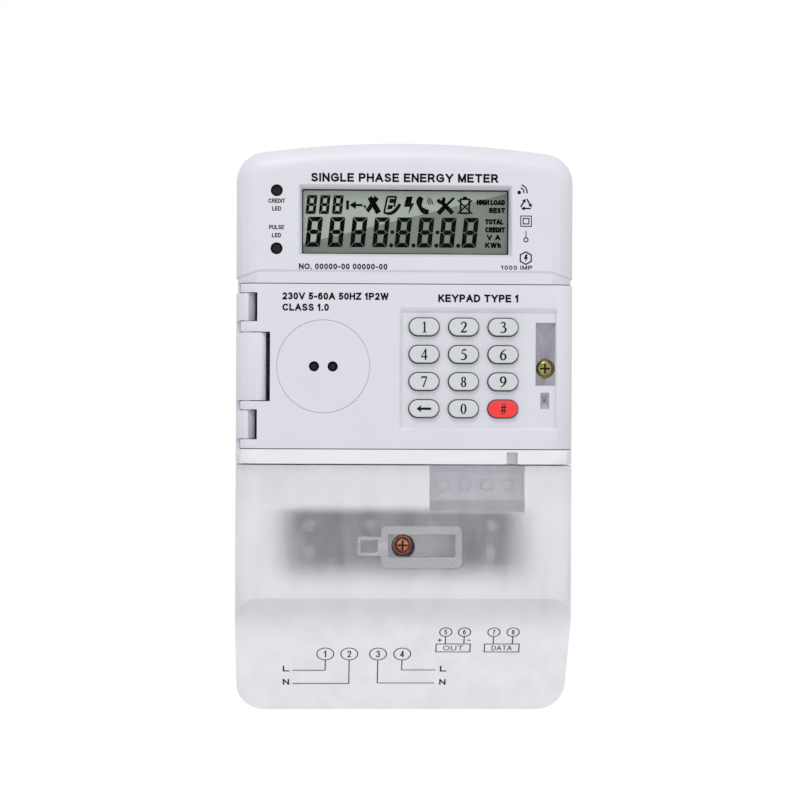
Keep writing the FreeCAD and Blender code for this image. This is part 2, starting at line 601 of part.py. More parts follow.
def key(x, z):
    cap = stadium(x, z, KEY_W, KEY_H, KEY_TOP, DOOR_INNER + 0.2)
    rim = [e for e in cap.Edges if e.BoundBox.YMax < KEY_TOP + 0.01]
    cap = cap.makeFillet(KEY_EDGE_R, rim)
    flange = stadium(x, z, KEY_W + 2 * KEY_FLANGE, KEY_H + 2 * KEY_FLANGE, DOOR_INNER + 0.1, -64.1)
    hollow = stadium(x, z, KEY_W - 2.4, KEY_H - 2.4, FRONT + 1.5, -64.0)
    return fused([cap, flange]).cut(hollow)


def keypad_mat():
    sheet = box(-0.5, 42.5, MAT_FRONT, MAT_BACK, 3.0, 42.0)
    domes = [rod_y(x, z, 1.6, -65.3, MAT_FRONT) for x in KEY_X for z in KEY_Z]
    return fused([sheet] + domes)


def keypad_board():
    return box(-38.0, 42.5, MAT_BACK, KEYPAD_BOARD_BACK, 3.0, 42.0)


def door_back_cover():
    return box(-45.2, 43.3, -60.6, -59.2, DOOR_Z0 + 2.3, DOOR_Z1 - 2.3)


def optical_port_ring():
    return ring_y(PORT_X, PORT_Z, 15.6, 12.6, DOOR_INNER, DOOR_INNER + 1.4)


def optical_leds():
    lamps = []
    for x in PORT_HOLES:
        lens = rod_y(x, PORT_Z, 1.5, -66.6, MAT_BACK)
        rim = [e for e in lens.Edges if e.BoundBox.YMax < -66.5]
        lamps.append(fused([lens.makeFillet(0.9, rim), rod_y(x, PORT_Z, 1.9, -63.2, MAT_BACK)]))
    return Part.makeCompound(lamps)


def door_seal_screw():
    return pan_screw(SEAL_X, SEAL_Z, -64.7, HEAD_R, 2.2, SHANK_R, MOUTH + 3.5)


def door_screw_washer():
    return ring_y(SEAL_X, SEAL_Z, WASHER_R, SHANK_R + RUNNING_GAP, -62.45, -61.85)


def hinge_pin():
    return rod_z(HINGE_X, HINGE_Y, PIN_R, DOOR_Z0 + 0.3, DOOR_Z1 - 0.3)


# ---------------------------------------------------------------- compartment behind the door

def comm_module():
    case = soft_box(-44.0, -2.0, -56.5, FLOOR_FRONT - 0.2, 3.0, 45.0, 2.0)
    vents = [box(-38.0, -8.0, -57.0, -55.9, z, z + 1.2) for z in range(12, 38, 4)]
    return case.cut(Part.makeCompound(vents))


def module_connector():
    return box(-34.0, -12.0, -50.0, FLOOR_FRONT, -3.6, 2.8)


def backup_battery():
    cell = rod_z(30.0, -51.5, 7.1, 22.5, 47.5)
    return fused([cell, rod_z(30.0, -51.5, 2.5, 47.5, 48.5)])


def battery_holder():
    base = box(20.5, 39.5, -47.0, FLOOR_FRONT, 18.5, 50.5)
    ends = [box(20.5, 39.5, -55.0, FLOOR_FRONT, z, z + 1.6) for z in (18.5, 48.9)]
    return fused([base] + ends).cut(rod_z(30.0, -51.5, 7.2, 20.1, 48.9))


NODES = {
    "rear_case": rear_case,
    "front_housing": front_housing,
    "case_gasket": case_gasket,
    "case_screws": case_screws,
    "hanger_bracket": hanger_bracket,
    "hanger_rivets": hanger_rivets,
    "display_window": display_window,
    "lcd_glass": lambda: box(-36.9, 36.9, -63.9, -61.6, 60.6, 86.3),
    "lcd_backlight": lcd_backlight,
    "lcd_pins": lcd_pins,
    "status_led": lambda: indicator_led(LED_Z["status_led"]),
    "pulse_led": lambda: indicator_led(LED_Z["pulse_led"]),
    "main_board": main_board,
    "board_screws": board_screws,
    "board_components": board_components,
    "power_transformer": power_transformer,
    "capacitors": capacitors,
    "varistor": varistor,
    "buzzer": buzzer,
    "latching_relay": latching_relay,
    "busbars": busbars,
    "current_shunt": lambda: bar(LINE_X, -16.0, -4.0),
    "neutral_link": neutral_link,
    "terminal_block": terminal_block,
    "main_terminals": main_terminals,
    "terminal_clamp_screws": terminal_clamp_screws,
    "aux_terminal_block": aux_terminal_block,
    "aux_terminals": aux_terminals,
    "aux_screws": aux_screws,
    "cover_switch": cover_switch,
    "cover_switch_plunger": cover_switch_plunger,
    "cover_screw_insert": cover_screw_insert,
    "terminal_cover": terminal_cover,
    "cover_screw": cover_screw,
    "cover_screw_washer": cover_screw_washer,
    "keypad_door": keypad_door,
    "door_back_cover": door_back_cover,
    "hinge_pin": hinge_pin,
    "door_seal_screw": door_seal_screw,
    "door_screw_washer": door_screw_washer,
    "keypad_mat": keypad_mat,
    "keypad_board": keypad_board,
    "optical_port_ring": optical_port_ring,
    "optical_leds": optical_leds,
    "comm_module": comm_module,
    "module_connector": module_connector,
    "backup_battery": backup_battery,
    "battery_holder": battery_holder,
}

for node, make in NODES.items():
    shape = make()
    shape.exportStep("parts/" + node + ".step")
    print(node, shape.isValid(), len(shape.Solids), round(shape.Volume, 1))

for index, name in enumerate(KEY_NAMES):
    row, column = divmod(index, 3)
    shape = key(KEY_X[column], KEY_Z[row])
    shape.exportStep("parts/key_" + name + ".step")
    print("key_" + name, shape.isValid(), len(shape.Solids), round(shape.Volume, 1))
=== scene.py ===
import json
import math

import bmesh
import bpy
from mathutils import Matrix, Vector


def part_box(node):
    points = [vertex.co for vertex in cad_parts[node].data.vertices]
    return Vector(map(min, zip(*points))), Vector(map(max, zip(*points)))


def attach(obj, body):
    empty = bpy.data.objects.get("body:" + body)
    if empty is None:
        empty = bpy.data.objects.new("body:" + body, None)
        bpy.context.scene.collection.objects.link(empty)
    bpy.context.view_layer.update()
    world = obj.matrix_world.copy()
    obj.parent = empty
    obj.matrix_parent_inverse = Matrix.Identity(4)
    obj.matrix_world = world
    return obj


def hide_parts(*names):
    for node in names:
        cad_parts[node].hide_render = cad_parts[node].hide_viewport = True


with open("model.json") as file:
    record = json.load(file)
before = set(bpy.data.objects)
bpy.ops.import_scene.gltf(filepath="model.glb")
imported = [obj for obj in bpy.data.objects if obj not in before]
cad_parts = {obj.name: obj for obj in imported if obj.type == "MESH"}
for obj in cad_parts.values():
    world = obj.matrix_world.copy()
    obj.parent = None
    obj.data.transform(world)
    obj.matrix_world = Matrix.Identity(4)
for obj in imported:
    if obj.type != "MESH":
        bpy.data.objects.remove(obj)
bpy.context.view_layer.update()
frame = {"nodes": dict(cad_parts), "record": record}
MM = 0.001

# ------------------------------------------------------------------ places, from the frame
CASE_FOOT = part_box("rear_case")[0].z
COVER_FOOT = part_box("terminal_cover")[0].z
DOOR_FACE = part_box("keypad_door")[0].y
GLASS_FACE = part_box("lcd_glass")[0].y
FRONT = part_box("front_housing")[0].y     # plane of the display face and the door
LED_LOW, LED_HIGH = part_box("status_led")
LED_MIDDLE = (LED_LOW.x + LED_HIGH.x) / 2 / MM
KNEE = Vector((0, FRONT, -58.2 * MM))    # where the cover starts to slope back
TOE = Vector((0, -32 * MM, COVER_FOOT))  # where the slope ends


# ------------------------------------------------------------------ materials

def new_material(name, colour, roughness, **sockets):
    material = bpy.data.materials.new(name)
    material.use_nodes = True
    shader = material.node_tree.nodes["Principled BSDF"]
    shader.inputs["Base Color"].default_value = (*colour, 1.0)
    shader.inputs["Roughness"].default_value = roughness
    for socket, value in sockets.items():
        shader.inputs[socket.replace("_", " ")].default_value = value
    return material


NOISE_LOW, NOISE_HIGH = 0.3, 0.7          # nearly all of a noise's values lie between these


def noise(material, scale, detail=3.0, stretch=(1, 1, 1)):
    """A noise in the row frame's metres, so that its grain has a real size on every node."""
    tree = material.node_tree
    coords = tree.nodes.new("ShaderNodeTexCoord")
    mapping = tree.nodes.new("ShaderNodeMapping")
    mapping.inputs["Scale"].default_value = stretch
    texture = tree.nodes.new("ShaderNodeTexNoise")
    texture.inputs["Scale"].default_value = scale
    texture.inputs["Detail"].default_value = detail
    tree.links.new(coords.outputs["Object"], mapping.inputs["Vector"])
    tree.links.new(mapping.outputs["Vector"], texture.inputs["Vector"])
    return texture


def add_bump(material, texture, height):
    tree = material.node_tree
    bump = tree.nodes.new("ShaderNodeBump")
    bump.inputs["Distance"].default_value = height
    tree.links.new(texture.outputs["Fac"], bump.inputs["Height"])
    tree.links.new(bump.outputs["Normal"], tree.nodes["Principled BSDF"].inputs["Normal"])


def spread(tree, texture, low, high):
    """The texture's values, spread from low to high."""
    span = tree.nodes.new("ShaderNodeMapRange")
    span.inputs["From Min"].default_value = NOISE_LOW
    span.inputs["From Max"].default_value = NOISE_HIGH
    span.inputs["To Min"].default_value = low
    span.inputs["To Max"].default_value = high
    tree.links.new(texture.outputs["Fac"], span.inputs["Value"])
    return span.outputs["Result"]


def vary(material, texture, socket, low, high):
    """Moves a shader input between two values or colours with the texture."""
    tree = material.node_tree
    if isinstance(low, tuple):
        ramp = tree.nodes.new("ShaderNodeValToRGB")
        ends = ramp.color_ramp.elements
        ends[0].position, ends[1].position = NOISE_LOW, NOISE_HIGH
        ends[0].color, ends[1].color = (*low, 1.0), (*high, 1.0)
        tree.links.new(texture.outputs["Fac"], ramp.inputs["Fac"])
        value = ramp.outputs["Color"]
    else:
        value = spread(tree, texture, low, high)
    tree.links.new(value, tree.nodes["Principled BSDF"].inputs[socket])


def moulded(name, colour, roughness, grain=2200.0, height=0.004 * MM, drift=0.025, **sockets):
    """Moulded plastic: a fine spark-eroded grain, with slow drifts of tone and gloss."""
    material = new_material(name, colour, roughness, **sockets)
    add_bump(material, noise(material, grain, 2.0), height)
    slow = noise(material, 45.0, 4.0)
    vary(material, slow, "Base Color", tuple(c * (1 - drift) for c in colour), colour)
    vary(material, noise(material, 160.0, 3.0), "Roughness", roughness - 0.04, roughness + 0.04)
    return material


def metal(name, colour, roughness, tint=None):
    """Plated or bare metal: fine grain, and patches that turn towards the tint."""
    material = new_material(name, colour, roughness, Metallic=1.0)
    add_bump(material, noise(material, 3000.0, 3.0), 0.006 * MM)
    patches = noise(material, 500.0, 4.0)
    vary(material, patches, "Base Color", tint or tuple(c * 0.8 for c in colour), colour)
    vary(material, noise(material, 900.0, 3.0), "Roughness", roughness - 0.07, roughness + 0.1)
    return material


# A painted reflection across the display: its lighter part lies above a slanting edge
GLARE_CLIMB = 18.2 / 72.2                 # how steeply the edge of the display's lighter part rises
GLARE_MIDDLE = 74.5 * MM                  # its height in the middle of the object
GLARE_SOFT = 0.15 * MM


def display_material():
    """Grey-green glass with a painted reflection: lighter above a slanting edge."""
    pale, deep = (0.455, 0.515, 0.445), (0.225, 0.262, 0.222)
    material = new_material("display_glass_and_glare", pale, 0.35)
    tree = material.node_tree
    coords = tree.nodes.new("ShaderNodeTexCoord")
    split = tree.nodes.new("ShaderNodeSeparateXYZ")
    height = tree.nodes.new("ShaderNodeMath")
    height.operation = "MULTIPLY_ADD"
    height.inputs[1].default_value = -GLARE_CLIMB
    edge = tree.nodes.new("ShaderNodeMapRange")
    edge.inputs["From Min"].default_value = GLARE_MIDDLE - GLARE_SOFT
    edge.inputs["From Max"].default_value = GLARE_MIDDLE + GLARE_SOFT
    mix = tree.nodes.new("ShaderNodeMix")
    mix.data_type = "RGBA"
    mix.inputs[6].default_value = (*deep, 1.0)
    mix.inputs[7].default_value = (*pale, 1.0)
    tree.links.new(coords.outputs["Object"], split.inputs["Vector"])
    tree.links.new(split.outputs["X"], height.inputs[0])
    tree.links.new(split.outputs["Z"], height.inputs[2])
    tree.links.new(height.outputs[0], edge.inputs["Value"])
    tree.links.new(edge.outputs["Result"], mix.inputs[0])
    tree.links.new(mix.outputs[2], tree.nodes["Principled BSDF"].inputs["Base Color"])
    add_bump(material, noise(material, 5000.0, 1.0), 0.001 * MM)
    return material


def combine(tree, operation, first, second):
    """A Math node over two values, each a float or a socket."""
    node = tree.nodes.new("ShaderNodeMath")
    node.operation = operation
    for socket, value in zip(node.inputs, (first, second)):
        if isinstance(value, float):
            socket.default_value = value
        else:
            tree.links.new(value, socket)
    return node.outputs[0]


def fade(tree, source, zone):
    """1 where source lies in the zone, falling to 0 over the zone's two soft widths outside it."""
    low, high, soft_low, soft_high = zone
    steps = []
    for edge, outer in ((low, low - soft_low), (high, high + soft_high)):
        ramp = tree.nodes.new("ShaderNodeMapRange")
        ramp.interpolation_type = "SMOOTHERSTEP"
        ramp.inputs["From Min"].default_value = outer * MM
        ramp.inputs["From Max"].default_value = edge * MM
        tree.links.new(source, ramp.inputs["Value"])
        steps.append(ramp.outputs["Result"])
    return combine(tree, "MULTIPLY", *steps)


# Zones of the cover in mm: lowest, highest, and the soft widths below and above them
MAIN_ACROSS, MAIN_DOWN = (-33, 31, 19, 21), (-42, -30, 16, 6)    # over the main terminals
AUX_ACROSS, AUX_DOWN = (9, 41.8, 0.6, 0.6), (-27, -12, 3, 0.8)   # over the auxiliary ones
BAND_DOWN = (-23.6, 5, 1.8, 1.8)          # right across, below the strip
SLOPE_DOWN = (-200, -74, 1, 15)           # the lower part of the slope
CLOUDY_LOW, CLOUDY_HIGH = 0.29, 0.39      # share of light that passes where no zone is
MAIN_CLEAR = 0.49                         # what the main zone adds to that share
AUX_SHARE, BAND_SHARE = 0.83, 0.13        # what the other two add, as shares of MAIN_CLEAR
SLOPE_CLOUD = 0.25                        # what the slope takes from it


def frosted_material():
    """Milky plastic, clearer over the terminals, where the mould is less rough."""
    material = new_material("frosted_cover", (0.965, 0.955, 1.0), 0.3, IOR=1.14)
    tree = material.node_tree
    coords = tree.nodes.new("ShaderNodeTexCoord")
    split = tree.nodes.new("ShaderNodeSeparateXYZ")
    tree.links.new(coords.outputs["Object"], split.inputs["Vector"])
    x, z = split.outputs["X"], split.outputs["Z"]
    main = combine(tree, "MULTIPLY", fade(tree, x, MAIN_ACROSS), fade(tree, z, MAIN_DOWN))
    aux = combine(tree, "MULTIPLY", fade(tree, x, AUX_ACROSS), fade(tree, z, AUX_DOWN))
    aux = combine(tree, "MULTIPLY", aux, AUX_SHARE)
    band = combine(tree, "MULTIPLY", fade(tree, z, BAND_DOWN), BAND_SHARE)
    zones = combine(tree, "MAXIMUM", combine(tree, "MAXIMUM", main, aux), band)
    clearer = combine(tree, "MULTIPLY", zones, MAIN_CLEAR)
    cloudier = combine(tree, "MULTIPLY", fade(tree, z, SLOPE_DOWN), SLOPE_CLOUD)
    clouds = spread(tree, noise(material, 150.0, 5.0, (1, 1, 0.3)), CLOUDY_LOW, CLOUDY_HIGH)
    passing = combine(tree, "SUBTRACT", combine(tree, "ADD", clearer, clouds), cloudier)
    tree.links.new(passing, tree.nodes["Principled BSDF"].inputs["Transmission Weight"])
    add_bump(material, noise(material, 1800.0, 2.0), 0.004 * MM)
    return material


def milky_material(name, passing):
    """The thicker plastic of the cover's raised frames and well; passing is its clear share."""
    return moulded(name, (0.93, 0.93, 0.97), 0.25, Transmission_Weight=passing, IOR=1.2)


def clear_material():
    material = new_material("clear_window", (0.97, 0.98, 0.97), 0.03, Transmission_Weight=1.0,
                            IOR=1.1)
    add_bump(material, noise(material, 300.0, 1.0), 0.0005 * MM)
    return material


CASE_TONE = (0.70, 0.70, 0.765)
# Tones of single faces, painted on below: painted shade in the seal slot, hinge notches, key gaps,
# key sides and screw sockets, and painted light on the terminal deck
RECESS = moulded("shaded_recess", (0.43, 0.43, 0.47), 0.55, drift=0.12)
GAP_SHADE = moulded("gap_shade", (0.05, 0.05, 0.06), 0.7, drift=0.2)
KEY_SIDE_SHADE = moulded("keycap_side_shade", (0.1, 0.1, 0.11), 0.6)
MILKY = milky_material("milky_wall", 0.35)
CLEARER = milky_material("milky_face", 0.6)
STRIP = moulded("strip_plastic", (0.81, 0.81, 0.85), 0.45)
DECK_LIT = moulded("deck_painted_light", (0.97, 0.97, 1.0), 0.5)
SHADE = moulded("painted_slot_shade", (0.2, 0.2, 0.215), 0.6, drift=0.2)
SOCKET_SHADE = metal("screw_socket_shade", (0.05, 0.045, 0.035), 0.5)
# The finish of each material slot of the record
SLOT_MATERIALS = {
    "casing": moulded("case_plastic", CASE_TONE, 0.42),
    "door": moulded("door_plastic", CASE_TONE, 0.4),
    "cover": frosted_material(),
    "window": clear_material(),
    "lcd": display_material(),
    "backlight": moulded("diffuser_plastic", (0.75, 0.77, 0.72), 0.5),
    "led_dark": moulded("tinted_lens", (0.008, 0.008, 0.011), 0.22, drift=0.3,
                        Specular_IOR_Level=0.3),
    "keys": moulded("keycap", (0.63, 0.65, 0.665), 0.46, grain=3200.0, height=0.003 * MM),
    "key_red": moulded("keycap_red", (0.93, 0.035, 0.04), 0.46, grain=3200.0, height=0.003 * MM),
    "mat": moulded("silicone", (0.1, 0.1, 0.11), 0.6),
    "board": moulded("solder_mask", (0.02, 0.13, 0.05), 0.32, grain=900.0, height=0.01 * MM,
                     drift=0.3),
    "chips": moulded("epoxy", (0.022, 0.022, 0.026), 0.5, drift=0.2),
    "zinc": metal("yellow_zinc", (0.50, 0.45, 0.17), 0.26, tint=(0.24, 0.22, 0.10)),
    "copper_screw": metal("copper_plate", (0.80, 0.33, 0.22), 0.24, tint=(0.42, 0.13, 0.08)),
    "steel": metal("plated_steel", (0.58, 0.58, 0.6), 0.3),
    "brass": metal("brass_bar", (0.73, 0.55, 0.25), 0.3),
    "copper": metal("copper_bar", (0.78, 0.42, 0.28), 0.32),
    "block": moulded("terminal_thermoset", (0.03, 0.028, 0.04), 0.5, drift=0.15),
    "aux_grey": moulded("grey_plastic", (0.5, 0.5, 0.55), 0.5),
    "aux_block": moulded("dark_plastic", (0.06, 0.06, 0.07), 0.5, drift=0.15),
    "plunger": moulded("nylon", (0.68, 0.68, 0.7), 0.5),
    "relay": moulded("relay_case", (0.03, 0.035, 0.045), 0.38, drift=0.15),
    "caps": moulded("can_sleeve", (0.02, 0.025, 0.06), 0.25, drift=0.1),
    "disc": moulded("disc_coating", (0.03, 0.1, 0.4), 0.35, drift=0.1),
    "module": moulded("module_plastic", (0.6, 0.6, 0.64), 0.45),
    "cell": moulded("cell_sleeve", (0.35, 0.36, 0.38), 0.3, drift=0.1, Metallic=0.6),
}
# Inks
INK = moulded("printing_ink", (0.004, 0.004, 0.005), 0.6, drift=0.3, Specular_IOR_Level=0.15)
SEGMENT = moulded("display_segment", (0.002, 0.003, 0.003), 0.7, drift=0.3, Specular_IOR_Level=0.05)
# Painted shadow: a dark band along the inside of the display's rim
RIM_SHADE = moulded("display_rim_shade", (0.055, 0.06, 0.055), 0.7, drift=0.2, Specular_IOR_Level=0.1)
GREY_INK = moulded("grey_ink", (0.035, 0.033, 0.045), 0.6, drift=0.2, Specular_IOR_Level=0.15)

for entry in frame["record"]["subparts"]:
    node = frame["nodes"][entry["node"]]
    node.data.materials.clear()
    node.data.materials.append(SLOT_MATERIALS[entry["material_slot"]])


# ------------------------------------------------------------------ softened copies

SHARP = math.radians(32)                  # edges that turn by more than this are rounded
NODE_BODY = {node: body for body, nodes in frame["record"]["behaviour"]["bodies"].items()
             for node in nodes}
NODE_SLOT = {entry["node"]: entry["material_slot"] for entry in frame["record"]["subparts"]}


def softened(node_name, width, segments=2):
    """A copy that replaces a CAD node, its sharp edges rounded by width mm as by a mould."""
    source = frame["nodes"][node_name]
    mesh = source.data.copy()
    work = bmesh.new()
    work.from_mesh(mesh)
    bmesh.ops.remove_doubles(work, verts=work.verts, dist=0.001 * MM)
    bmesh.ops.dissolve_limit(work, angle_limit=math.radians(0.5), verts=work.verts,
                             edges=work.edges)
    work.to_mesh(mesh)
    work.free()
    piece = bpy.data.objects.new(node_name + "_moulded", mesh)
    bpy.context.scene.collection.objects.link(piece)
    bevel = piece.modifiers.new("soft_edges", "BEVEL")
    bevel.width = width * MM
    bevel.segments = segments
    bevel.limit_method = "ANGLE"
    bevel.angle_limit = SHARP
    bevel.use_clamp_overlap = True
    bevel.harden_normals = True
    apply_modifiers(piece)
    shade(piece.data)
    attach(piece, NODE_BODY[node_name])
    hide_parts(node_name)
    return piece


def apply_modifiers(piece):
    graph = bpy.context.evaluated_depsgraph_get()
    result = bpy.data.meshes.new_from_object(piece.evaluated_get(graph))
    piece.modifiers.clear()
    piece.data = result


def shade(mesh):
    """Smooth over curved strips, flat on the main planes and the slope, sharp at sharp edges."""
    work = bmesh.new()
    work.from_mesh(mesh)
    slope = (KNEE - TOE).cross(Vector((1, 0, 0))).normalized()
    for face in work.faces:
        n = face.normal
        level = max(abs(n.x), abs(n.y), abs(n.z), abs(n.dot(slope)))
        face.smooth = level < 0.99999
    for edge in work.edges:
        if len(edge.link_faces) == 2:
            edge.smooth = edge.calc_face_angle(0.0) < SHARP
    work.to_mesh(mesh)
    work.free()


def paint(piece, material, chosen, largest=500):
    """Gives another material to the faces up to largest mm2 that chosen(centre, normal) picks."""
    piece.data.materials.append(material)
    index = len(piece.data.materials) - 1
    for face in piece.data.polygons:
        if face.area < largest * MM * MM and chosen(face.center / MM, face.normal):
            face.material_index = index


def inside(point, box):
    """Whether a point in mm lies in a box of (low, high) ranges for x, y and z."""
    return all(low < value < high for value, (low, high) in zip(point, box))


# Boxes in mm round the faces that get a tone of their own
FRONT_MM = FRONT / MM
RECESS_Y = DOOR_FACE / MM + 1.25          # floor of the keypad recess
AHEAD, BEHIND = -70.0, 1.0                # in front of and behind everything
SEAL_SLOT = ((45.5, 52.8), (RECESS_Y, -61.0), (7.9, 38.4))
SLOT_FLOOR = ((45.5, 52.8), (RECESS_Y, -61.0), (14.0, 32.5))
HINGE_POCKETS = [((-59.5, -51.5), (FRONT_MM + 0.3, BEHIND), across)
                 for across in ((38.0, 48.5), (-2.9, 7.5))]
RAISED_FRAMES = ((-60.0, 60.0), (AHEAD, FRONT_MM - 0.02), (-102.0, 102.0))
WELL_TAB = ((-15.5, -4.0), (AHEAD, -61.0), (-42.5, -37.5))
WELL = ((-5.9, 18.2), (-67.9, -57.8), (-44.3, -35.5))
STRIP_FACE = ((-58.0, 58.0), (AHEAD, -65.5), (-13.0, -5.8))
TERMINAL_DECK = ((-57.0, 57.0), (-65.5, -40.0), (-27.0, -5.8))
KEY_GAP = 0.8                             # width of the shaded gap round a keycap
KEY_NODES = [node for node in NODE_SLOT if node.startswith("key_")]
KEY_GAPS = [((low.x / MM - KEY_GAP, high.x / MM + KEY_GAP), (RECESS_Y - 0.3, -64.0),
             (low.z / MM - KEY_GAP, high.z / MM + KEY_GAP)) for low, high in map(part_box, KEY_NODES)]
SOCKET_RADIUS, SOCKET_TOP, SOCKET_FLOOR = 1.85, 0.12, 1.5   # the recess in a screw's head


# Tests for paint, on a face's centre in mm and its normal

def in_screw_socket(node_name):
    low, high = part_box(node_name)
    face, x, z = low.y / MM, (low.x + high.x) / 2 / MM, (low.z + high.z) / 2 / MM
    return lambda c, n: (face + SOCKET_TOP < c.y < face + SOCKET_FLOOR
                         and math.hypot(c.x - x, c.z - z) < SOCKET_RADIUS)


def in_hinge_pocket(c, n):
    """The right half of the knuckles in the upper and lower notches of the door's edge, which gets
    painted shade.
    """
    return any(inside(c, box) for box in HINGE_POCKETS) and n.x > 0.12 and n.y < -0.05


def in_seal_slot(c, n):
    return inside(c, SEAL_SLOT)


def on_slot_floor(c, n):
    return inside(c, SLOT_FLOOR) and max(abs(n.x), abs(n.z)) < 0.05


def in_well_or_frame(c, n):
    return any(inside(c, box) for box in (RAISED_FRAMES, WELL_TAB, WELL))


def on_frame_front(c, n):
    return in_well_or_frame(c, n) and n.y < -0.99 and c.y < FRONT_MM


def on_cap_side(c, n):
    """The steep sides of a keycap, which get painted shade, and more of them below."""
    turned_down = n.z < -0.25
    return n.y > (-0.86 if turned_down else -0.6)


def beside_a_key(c, n):
    """The walls of the holes round the keycaps, which get painted shade."""
    return abs(n.y) <= 0.97 and any(inside(c, box) for box in KEY_GAPS)


def on_strip(c, n):
    return inside(c, STRIP_FACE)


def on_terminal_deck(c, n):
    return inside(c, TERMINAL_DECK)


SOFT_EDGES = {"front_housing": 0.22, "rear_case": 0.25, "keypad_door": 0.18, "terminal_cover": 0.2,
              "comm_module": 0.2, "terminal_block": 0.2, "door_seal_screw": 0.08,
              "cover_screw": 0.08}
SOFT = {name: softened(name, width) for name, width in SOFT_EDGES.items()}
paint(SOFT["front_housing"], STRIP, on_strip, largest=3000)
# Painted light: the deck seen through the cover is a much lighter copy of the housing plastic
paint(SOFT["front_housing"], DECK_LIT, on_terminal_deck, largest=3000)
# Painted shade: the whole seal slot darker than the door face
paint(SOFT["keypad_door"], RECESS, in_seal_slot)
# Painted shade: the flat floor of the seal slot round the screw, darker still
paint(SOFT["keypad_door"], SHADE, on_slot_floor)
# Painted shade: the walls of the holes round the keycaps, nearly black
paint(SOFT["keypad_door"], GAP_SHADE, beside_a_key)
# Painted shade on the right half of the hinge knuckles
for name in ("front_housing", "keypad_door"):
    paint(SOFT[name], RECESS, in_hinge_pocket)
paint(SOFT["terminal_cover"], MILKY, in_well_or_frame)
paint(SOFT["terminal_cover"], CLEARER, on_frame_front)
# Painted shade on the steep sides of each keycap
for name in KEY_NODES:
    paint(softened(name, 0.02, segments=1), KEY_SIDE_SHADE, on_cap_side)
# Painted shade: the recess in each screw's head is dark metal
for screw in ("door_seal_screw", "cover_screw"):
    paint(SOFT[screw], SOCKET_SHADE, in_screw_socket(screw))


# ------------------------------------------------------------------ printing

INK_LIFT, INK_DEPTH = 0.03 * MM, 0.02 * MM   # how far printing stands off its face; its thickness


def face_matrix(origin, right, up):
    """Turns flat (x, y) drawing into a face: right and up are the face's own directions."""
    normal = right.cross(up)
    matrix = Matrix((right, up, normal)).transposed().to_4x4()
    matrix.translation = origin + normal * INK_LIFT
    return matrix


def front_face(y):
    return face_matrix(Vector((0, y, 0)), Vector((1, 0, 0)), Vector((0, 0, 1)))


def slope_face():
    up = (KNEE - TOE).normalized()
    return face_matrix(KNEE, Vector((1, 0, 0)), up)


